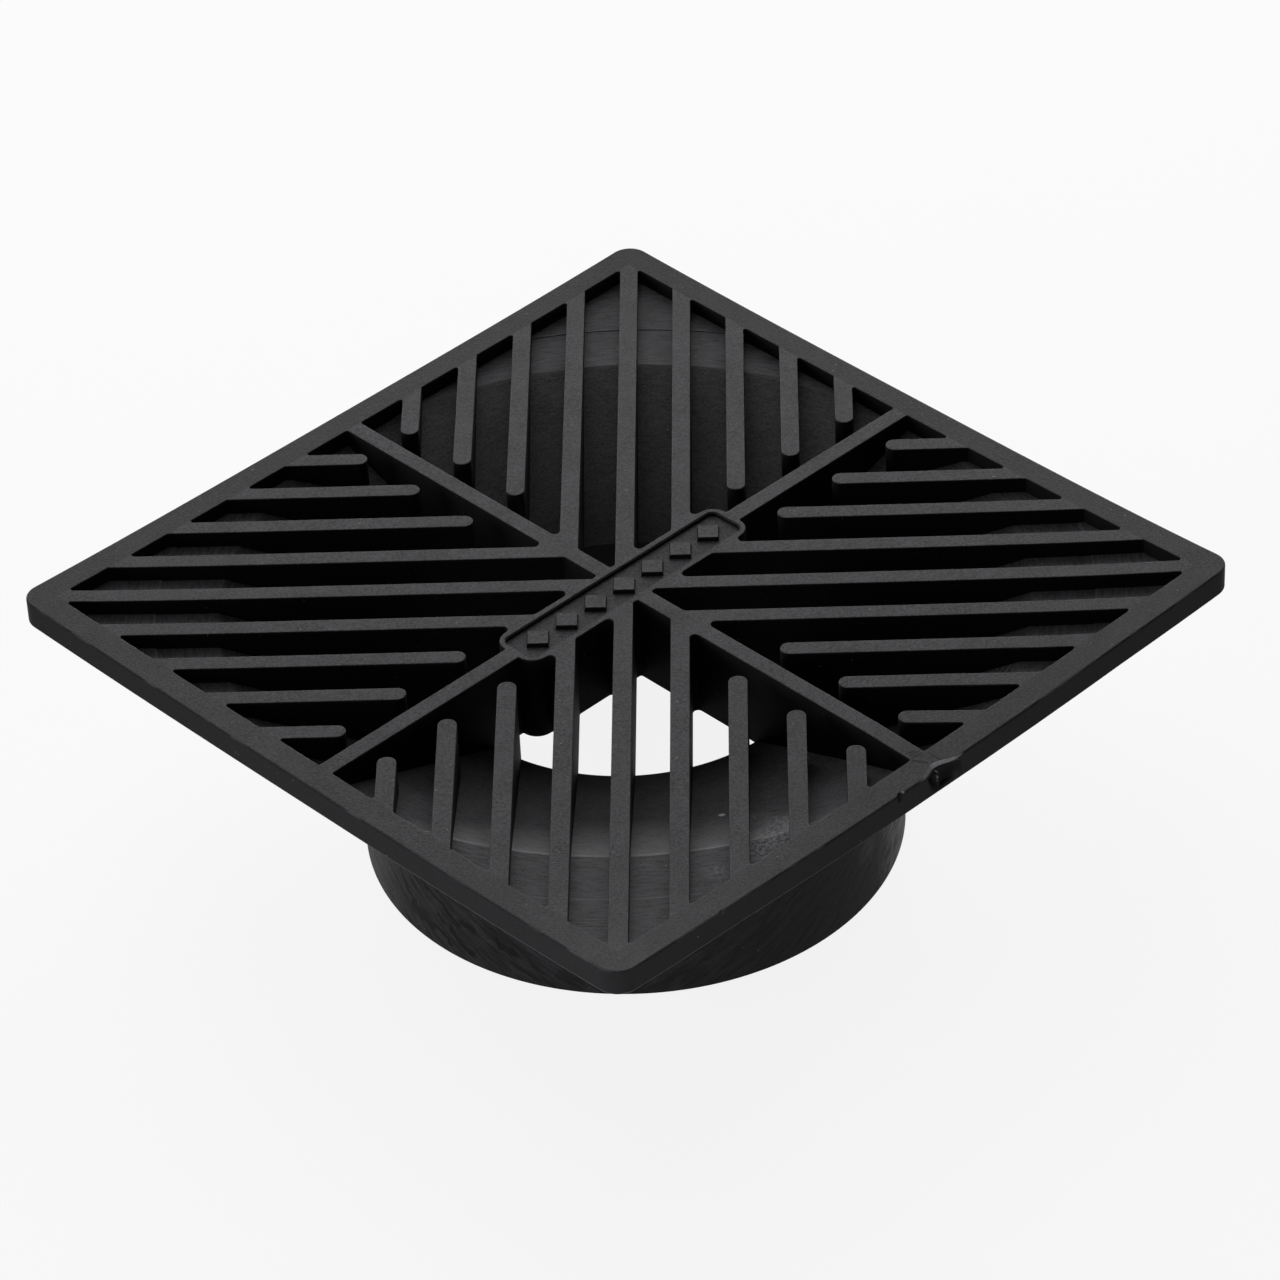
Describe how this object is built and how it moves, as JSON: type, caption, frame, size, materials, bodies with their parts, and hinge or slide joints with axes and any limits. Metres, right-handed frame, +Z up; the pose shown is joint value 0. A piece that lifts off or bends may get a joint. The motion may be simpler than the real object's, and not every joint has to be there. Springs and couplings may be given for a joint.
{
  "type": "drain grate",
  "caption": "Square drain grate with slanted bars over a shallow dish and drain hole, and a round collar that fits over or inside a drain pipe.",
  "frame": {"origin": "centre of the collar's lower rim, on the collar's axis, on the plane the part stands on", "axes": "+Z up along the collar's axis towards the grille; +X along the rib that carries the centre plate"},
  "size_m": [0.15, 0.15, 0.0526],
  "materials": {
    "black_plastic": "matte, moulded, with a fine grain"
  },
  "bodies": {
    "root": {"grate": "black_plastic"}
  },
  "joints": []
}
